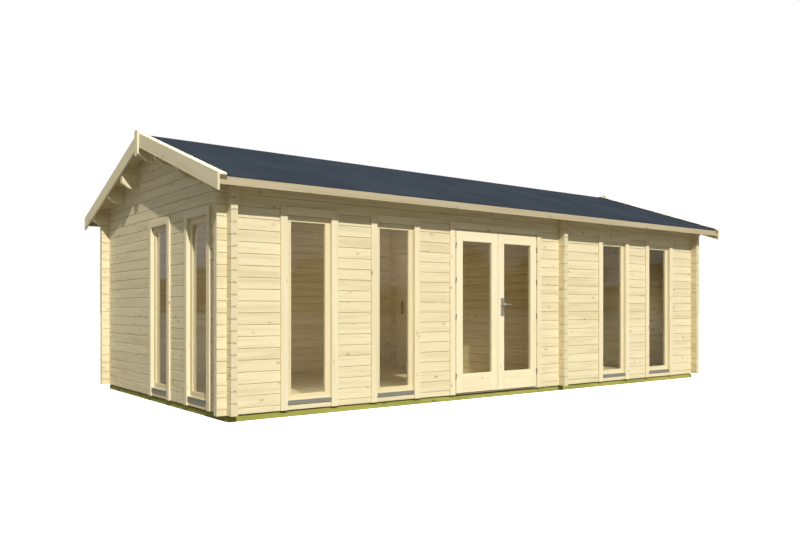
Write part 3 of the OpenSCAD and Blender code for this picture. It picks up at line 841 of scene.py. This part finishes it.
def make_windows():
    frames, sashes, covers, sills = Stock("frames"), Stock("sashes"), Stock("covers"), Stock("sills")
    for place in WINDOWS:
        for stock in (frames, sashes, covers, sills):
            stock.move = place
        top = OPENING_TOP + JAMB_T
        ring(frames, -WIN_HALF - JAMB_T, WIN_HALF + JAMB_T, 0.0, LOG_T, FRAME_FOOT, top,
             (JAMB_T, JAMB_T, WIN_FOOT - FRAME_FOOT, JAMB_T), 0.001)
        gap = 0.001
        y0, y1 = SASH_IN, SASH_IN + SASH_T
        ring(sashes, gap - WIN_HALF, WIN_HALF - gap, y0, y1, WIN_FOOT, OPENING_TOP - gap,
             (SASH_W, SASH_W, PANE_LOW - WIN_FOOT, OPENING_TOP - PANE_HIGH), 0.002)
        side = WIN_HALF - SASH_W
        for near, far in ((y0 + 0.004, y0 + 0.015), (y0 + 0.019, y1 - 0.004)):
            beads(sashes, -side, side, near, far, PANE_LOW, PANE_HIGH)
        cover_boards(covers, WIN_HALF)
        sill(sills)
    frames.piece("window_linings", "cabin", "planed_board", BOARD_WOOD, "window_frames")
    sashes.piece("window_sash_bars", "cabin", "joinery", SHADED_SASH_WOOD, "window_sashes")
    covers.piece("window_cover_boards", "cabin", "planed_board", BOARD_WOOD, "window_covers")
    sills.piece("window_drip_sills", "cabin", "sill_metal", [SILL, SILL], "window_sills")


# ---- front door
def make_door_frame():
    posts, covers, strip = Stock("door_frame"), Stock("door_covers"), Stock("threshold")
    posts.move = covers.move = front_place(DOOR_X)
    head_foot = LEAF_TOP - LIP + 0.005
    top = OPENING_TOP + JAMB_T
    ring(posts, -FRAME_OUT, FRAME_OUT, 0.0, LOG_T, BEAM_H, top,
         (FRAME_OUT - FRAME_IN, FRAME_OUT - FRAME_IN, 0.0, top - head_foot), 0.0015)
    posts.piece("door_frame_posts", "cabin", "planed_board", BOARD_WOOD, "door_frame")
    cover_boards(covers, COVER_IN)
    covers.piece("door_cover_boards", "cabin", "planed_board", BOARD_WOOD, "door_covers")

    low, high = from_corner(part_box("door_threshold"))
    section = [(low.y, BEAM_H), (low.y, high.z - 0.006), (low.y + 0.004, high.z - 0.002)]
    ribs, pitch = 4, 0.018
    between = high.z - 0.0022
    for k in range(ribs):
        y = low.y + 0.010 + k * pitch
        section += [(y, between), (y + 0.002, high.z), (y + 0.006, high.z), (y + 0.008, between)]
    section += [(high.y, between), (high.y, BEAM_H)]
    strip.prism(section, low.x, high.x, along_x, cap=SIDE)
    strip.piece("door_sill_strip", "cabin", "sill_metal", [THRESHOLD, THRESHOLD], "door_threshold")


def make_leaf(side, name, body, node):
    """A leaf on one side of the middle: a rebated frame of stiles and rails with beads round its pane."""
    stock = Stock(name)
    stock.move = lambda p: (DOOR_X + side * p[0], p[1], p[2])
    seam = 0.0006
    inner, outer = LEAF_GAP / 2, DOOR_SIDE
    face, step, back = -LEAF_OUT, LIP - LEAF_OUT, LEAF_T - LEAF_OUT
    body_top = LEAF_TOP - LIP
    pane_side = (inner + STILE_W, outer - STILE_W)
    pane = (LEAF_FOOT + BOTTOM_RAIL, LEAF_TOP - TOP_RAIL)
    parts = (
        ("z", (pane_side[1] + seam, outer), (LEAF_FOOT, LEAF_TOP), "hanging"),
        ("z", (inner, pane_side[0] - seam), (LEAF_FOOT, LEAF_TOP), "meeting"),
        ("x", pane_side, (pane[1], LEAF_TOP), "top"),
        ("x", pane_side, (LEAF_FOOT, pane[0]), "bottom"),
    )
    for along, xs, zs, key in parts:
        body_x = (xs[0], min(xs[1], outer - LIP))
        body_z = (zs[0], min(zs[1], body_top))
        stock.bar((xs[0], face, zs[0]), (xs[1], step, zs[1]), along, 0.0018, key)
        stock.bar((body_x[0], step - 0.0036, body_z[0]), (body_x[1], back, body_z[1]), along, 0.0018, key)
    for near, far in ((face + 0.004, 0.0005), (0.0055, back - 0.004)):
        beads(stock, *pane_side, near, far, *pane)
    stock.piece(name, body, "joinery", LIT_JOINERY_WOOD, node)


# ---- handles
# Heights on a handle plate are measured from the spindle
PLATE_T = 0.008
PLATE_W = 0.050
PLATE_LOW = -0.142
PLATE_HIGH = 0.080
LOCK_Z = -0.086
SCREWS_Z = (-0.128, 0.066)
LEVER_LEN = 0.115


def circle(radius, z=0.0, corners=24):
    turns = [2 * math.pi * k / corners for k in range(corners)]
    return [(radius * math.cos(turn), radius * math.sin(turn), z) for turn in turns]


def tube(path, sizes, corners=20):
    """A closed skin round a level path. sizes gives each station's two half widths, across and up."""
    rings = []
    for i, centre in enumerate(path):
        way = Vector(path[min(i + 1, len(path) - 1)]) - Vector(path[max(i - 1, 0)])
        across = way.normalized().cross(Vector((0, 0, 1))).normalized()
        half_w, half_h = sizes[i]
        rings.append([Vector(centre) + across * half_w * a + Vector((0, 0, half_h * b))
                      for a, b, _ in circle(1.0, 0.0, corners)])
    return skin(rings)


def disc(*stations, corners=20):
    """A round boss facing -Y. Each station is a distance out of Y = 0 and a radius."""
    return tube([(0, -out, 0) for out, _ in stations], [(r, r) for _, r in stations], corners)


def rounded_plate():
    """A handle plate facing -Y with rounded corners and an eased front edge, its back on Y = 0."""
    radius, edge, steps = 0.012, 0.0025, 6
    x, low, high = PLATE_W / 2 - radius, PLATE_LOW + radius, PLATE_HIGH - radius

    def outline(y, inset):
        r = radius - inset
        loop = []
        for cx, cz, turn in ((x, low, -90), (x, high, 0), (-x, high, 90), (-x, low, 180)):
            for k in range(steps + 1):
                angle = math.radians(turn + 90 * k / steps)
                loop.append((cx + r * math.cos(angle), y, cz + r * math.sin(angle)))
        return loop

    layers = ((0.0, 0.0), (edge - PLATE_T, 0.0), (edge * 0.3 - PLATE_T, edge * 0.3), (-PLATE_T, edge))
    return skin([outline(y, inset) for y, inset in layers])


class Parts:
    """Skins gathered into one smooth-shaded mesh."""

    def __init__(self):
        self.points, self.faces = [], []

    def add(self, shape, move):
        points, faces = shape
        points = [Vector(move(tuple(p))) for p in points]
        first = len(self.points)
        self.points += points
        self.faces += [[first + i for i in face] for face in outwards(points, faces)]

    def piece(self, name, body, slot, material, *nodes):
        mesh = bpy.data.meshes.new(name)
        mesh.from_pydata([p + CORNER for p in self.points], [], self.faces)
        mesh.materials.append(material)
        mesh.update()
        mesh.shade_smooth()
        mesh.set_sharp_from_angle(angle=math.radians(35))
        show(mesh, name, body, slot, *nodes)


def lever_skins(thick):
    """The two levers and their spindle, for a leaf from Y = 0 to Y = thick, pointing along +X."""
    out, bend, grip_w, grip_h = 0.044, 0.016, 0.0055, 0.0078
    skins = []
    for sign, face in ((-1, 0.0), (1, thick)):
        path = [(0, face + sign * (PLATE_T + 0.0006), 0), (0, face + sign * (PLATE_T + 0.020), 0)]
        sizes = [(0.0105, 0.0105), (0.0090, 0.0090)]
        for k in range(7):
            turn = math.radians(15 * k)
            path.append((bend * (1 - math.cos(turn)), face + sign * (out - bend * (1 - math.sin(turn))), 0))
            sizes.append((0.0088 - 0.0005 * k, 0.0090 + 0.0001 * k))
        for share in (0.35, 0.6, 0.8, 0.93, 1.0):
            path.append((bend + share * (LEVER_LEN - bend), face + sign * out, 0))
            tip = 0.55 if share == 1.0 else 1.0
            sizes.append((grip_w * tip, grip_h * tip))
        skins.append(tube(path, sizes))
    skins.append(tube([(0, -0.010, 0), (0, thick + 0.010, 0)], [(0.005, 0.005)] * 2))
    return skins


def make_handle(names, bodies, nodes, place, thick):
    """Plates on both faces with their lock cylinders, screws and collars, and both levers."""
    plates, levers = Parts(), Parts()
    lock = disc((PLATE_T, 0.0085), (PLATE_T + 0.0022, 0.0085), (PLATE_T + 0.0030, 0.0078))
    screw = disc((PLATE_T - 0.0005, 0.0045), (PLATE_T + 0.0008, 0.0036), corners=12)
    collar = disc((PLATE_T - 0.0002, 0.0125), (PLATE_T + 0.0004, 0.0118))
    fittings = [(rounded_plate(), 0.0), (lock, LOCK_Z)] + [(screw, z) for z in SCREWS_Z] + [(collar, 0.0)]
    for flip in (False, True):
        for shape, lift in fittings:
            plates.add(shape, lambda p: place((p[0], thick - p[1] if flip else p[1], p[2] + lift)))
    for shape in lever_skins(thick):
        levers.add(shape, place)
    plates.piece(names[0], bodies[0], "handle_metal", HANDLE, nodes[0])
    levers.piece(names[1], bodies[1], "handle_metal", HANDLE, nodes[1])


def make_door():
    make_door_frame()
    make_leaf(-1, "left_leaf_joinery", "left_leaf", "left_door_leaf")
    make_leaf(1, "right_leaf_joinery", "right_leaf", "right_door_leaf")
    make_handle(("front_handle_plates", "front_lever_pair"), ("right_leaf", "front_lever"),
                ("door_handle_plates", "door_levers"),
                lambda p: (SPINDLE_X + p[0], p[1] - LEAF_OUT, SPINDLE_Z + p[2]), LEAF_T)


# ---- inner door
def turned(p):
    """From a front facing -Y with its left at X = 0 to the partition's left face."""
    return (PARTITION_X + p[1], INNER_HIGH - p[0], p[2])


def make_inner_door():
    width = INNER_HIGH - INNER_LOW
    lining, covers = Stock("inner_lining"), Stock("inner_covers")
    lining.move = covers.move = turned
    ring(lining, -JAMB_T, width + JAMB_T, 0.0, LOG_T, BEAM_H, INNER_HEAD + JAMB_T,
         (JAMB_T, JAMB_T, FLOOR_TOP - BEAM_H, JAMB_T))
    stop = INNER_T + 0.005
    ring(lining, 0.0, width, stop, LOG_T, FLOOR_TOP, INNER_HEAD, (LIP, LIP, 0.0, LIP), 0.001)
    lining.piece("inner_door_lining", "cabin", "planed_board", BOARD_WOOD)

    setting, board, thick = 0.014, 0.064, 0.015
    out = setting + board
    for y0 in (-thick, LOG_T):
        ring(covers, -out, width + out, y0, y0 + thick, FLOOR_TOP, INNER_HEAD + out,
             (board, board, 0.0, board), 0.002)
    covers.piece("inner_door_architraves", "cabin", "planed_board", BOARD_WOOD, "inner_door_covers")

    make_inner_leaf(0.007, width - 0.005)
    make_inner_hinges()
    make_handle(("inner_handle_pair", "inner_lever_pair"), ("inner_leaf", "inner_lever"),
                ("inner_handle_plates", "inner_levers"),
                lambda p: turned((0.067 + p[0], p[1], SPINDLE_Z + p[2])), INNER_T)


def make_inner_leaf(x0, x1):
    """A framed leaf with three rails, and upright boards let into its stiles and rails."""
    leaf = Stock("inner_leaf")
    leaf.move = turned
    rail, stile, foot_rail, middle, boards, let_in = 0.110, 0.095, 0.200, 0.86, 6, 0.010
    foot = INNER_FOOT
    for a, b, key in ((x0, x0 + stile, "lock"), (x1 - stile, x1, "hinge")):
        leaf.bar((a, 0.0, foot), (b, INNER_T, INNER_TOP), "z", 0.002, key)
    inner0, inner1 = x0 + stile, x1 - stile
    for z0, z1 in ((foot, foot + foot_rail), (middle, middle + rail), (INNER_TOP - rail, INNER_TOP)):
        leaf.bar((inner0, 0.0, z0), (inner1, INNER_T, z1), "x", 0.002)
    step = (inner1 - inner0) / boards
    low, high = foot + foot_rail - let_in, INNER_TOP - rail + let_in
    for k in range(boards):
        x = inner0 + k * step
        leaf.bar((x, 0.012, low), (x + step, INNER_T - 0.012, high), "z", 0.003)
    leaf.piece("inner_leaf_joinery", "inner_leaf", "joinery", LIT_JOINERY_WOOD)


def make_inner_hinges():
    """Butt hinges: the lower knuckle with its pin on the frame, the upper knuckle and strap on the leaf."""
    radius, tall, strap_t, strap_w = 0.006, 0.033, 0.003, 0.036
    x = from_corner(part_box("inner_door_frame"))[0].x + radius
    y = INNER_LOW - 0.004
    fixed, moving = Parts(), Parts()
    for height in (0.200, 1.620):
        z = INNER_FOOT + height
        upper = z + tall + 0.001
        for stock, shape, foot in ((fixed, knuckle(radius, tall), z), (fixed, knuckle(0.003, 0.063), z),
                                   (moving, knuckle(radius, tall), upper)):
            stock.add(shape, lambda p: (x + p[0], y + p[1], foot + p[2]))
        fixed.add(block((x, y - strap_t / 2, z), (PARTITION_X, y + strap_t / 2, z + tall)), tuple)
        moving.add(block((PARTITION_X - strap_t, y, upper), (PARTITION_X, y + strap_w, upper + tall)), tuple)
    fixed.piece("inner_hinge_pins", "cabin", "hinge_steel", STEEL, "inner_door_frame")
    moving.piece("inner_hinge_straps", "inner_leaf", "hinge_steel", STEEL, "inner_door_leaf")


def knuckle(radius, tall):
    """An upright barrel with eased ends, standing on Z = 0."""
    ease = 0.0008
    levels = ((0, radius - ease), (ease, radius), (tall - ease, radius), (tall, radius - ease))
    return skin([circle(r, z) for z, r in levels])


def block(low, high):
    """A small plate between two corners, with eased upright edges."""
    ease = min(high[0] - low[0], high[1] - low[1]) * 0.2
    outline = chamfered(low[0], high[0], low[1], high[1], ease)
    return skin([[(a, b, z) for a, b in outline] for z in (low[2], high[2])])


# ---- what stays from the frame
def dress_frame():
    """Panes and front hinges keep their shape, and take a better material."""
    kept = ((GLASS, "window_glass", "left_door_glass", "right_door_glass"),
            (STEEL, "door_hinge_pins", "left_door_hinges", "right_door_hinges"))
    for material, *names in kept:
        for name in names:
            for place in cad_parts[name].material_slots:
                place.material = material


# ---- stage
def light(kind, name, strength, place, travel, colour):
    data = bpy.data.lights.new(name, kind)
    data.energy = strength
    data.color = colour
    lamp = bpy.data.objects.new(name, data)
    bpy.context.scene.collection.objects.link(lamp)
    lamp.location = place
    lamp.rotation_euler = Vector(travel).to_track_quat("-Z", "Y").to_euler()
    return lamp


def sun(name, strength, travel, spread, colour):
    lamp = light("SUN", name, strength, (0, 0, 0), travel, colour)
    lamp.data.angle = math.radians(spread)


def make_stage():
    half, z = 150.0, -0.0005
    mesh = bpy.data.meshes.new("floor")
    corners = [(-half, -half, z), (half, -half, z), (half, half, z), (-half, half, z)]
    mesh.from_pydata(corners, [], [[0, 1, 2, 3]])
    floor = bpy.data.objects.new("floor", mesh)
    bpy.context.scene.collection.objects.link(floor)
    material, w, shader = nodes_of("pale_floor")
    seen = w.add("ShaderNodeLightPath").outputs["Is Camera Ray"]
    w.feed(w.mix(seen, (0.24, 0.235, 0.225), (0.90, 0.90, 0.90)), shader.inputs["Base Color"])
    w.feed(w.ramp(seen, 0.0, 1.0, 0.0, 1.0, smooth=False), shader.inputs["Emission Strength"])
    shader.inputs["Emission Color"].default_value = (1.0, 1.0, 1.0, 1.0)
    shader.inputs["Roughness"].default_value = 1.0
    shader.inputs["Specular IOR Level"].default_value = 0.0
    mesh.materials.append(material)

    world = bpy.data.worlds.new("studio")
    bpy.context.scene.world = world
    world.use_nodes = True
    w = Wires(world.node_tree)
    back = w.tree.nodes["Background"]
    rays = w.add("ShaderNodeLightPath").outputs
    way = w.add("ShaderNodeTexCoord").outputs["Generated"]
    height = w.add("ShaderNodeSeparateXYZ", {0: way}).outputs[2]
    hedge = w.ramp(w.noise(way, 9.0, 4.0, 0.6), 0.3, 0.7, 0.0, 0.09, smooth=False)
    above = w.ramp(w.math("SUBTRACT", height, hedge), -0.004, 0.006)
    around = w.mix(above, (0.09, 0.08, 0.045), (0.36, 0.37, 0.44))
    glow = w.mix(rays["Is Glossy Ray"], (0.325, 0.332, 0.318), around)
    w.feed(w.mix(rays["Is Camera Ray"], glow, (1.0, 1.0, 1.0)), back.inputs["Color"])
    back.inputs["Strength"].default_value = 1.0

    sun("key_sun", 3.7, (0.21, 0.66, -0.49), 0.8, (1.0, 0.985, 0.95))
    sun("back_fill", 1.40, (-0.55, -0.60, -0.45), 40.0, (0.97, 0.98, 1.0))
    room_light(1.20, 2.70, 0.45, 0.60, 11.0)
    room_light(3.50, 4.50, 3.00, 2.35, 2.0)
    room_light(PARTITION_X + LOG_T, WALL_LEN - LOG_T, 0.45, 1.05, 2.1)


def room_light(low, high, depth, height, strength):
    """A soft lamp between two places along the cabin, turned to the back wall."""
    place = CORNER + Vector(((low + high) / 2, depth, height))
    lamp = light("AREA", "room_light", strength * (high - low), place,
                 (0.0, WALL_DEP - depth, 0.9 - height), (1.0, 0.97, 0.92))
    lamp.data.shape = "RECTANGLE"
    lamp.data.size = (high - low) * 0.8
    lamp.data.size_y = 0.5
    lamp.visible_camera = False
    lamp.visible_glossy = False


def make_camera():
    data = bpy.data.cameras.new("camera")
    data.lens = 34.08
    data.sensor_width = 36.0
    data.shift_y = 0.0513
    data.clip_end = 500.0
    camera = bpy.data.objects.new("camera", data)
    bpy.context.scene.collection.objects.link(camera)
    camera.location = (-6.902, -8.592, 1.086)
    camera.rotation_euler = (math.radians(90), 0.0, math.radians(-37.06))
    bpy.context.scene.camera = camera
    view = bpy.context.scene.view_settings
    view.view_transform = "Standard"
    view.exposure = 0.0


make_camera()
make_stage()
make_base()
make_walls()
make_roof()
make_windows()
make_door()
make_inner_door()
dress_frame()
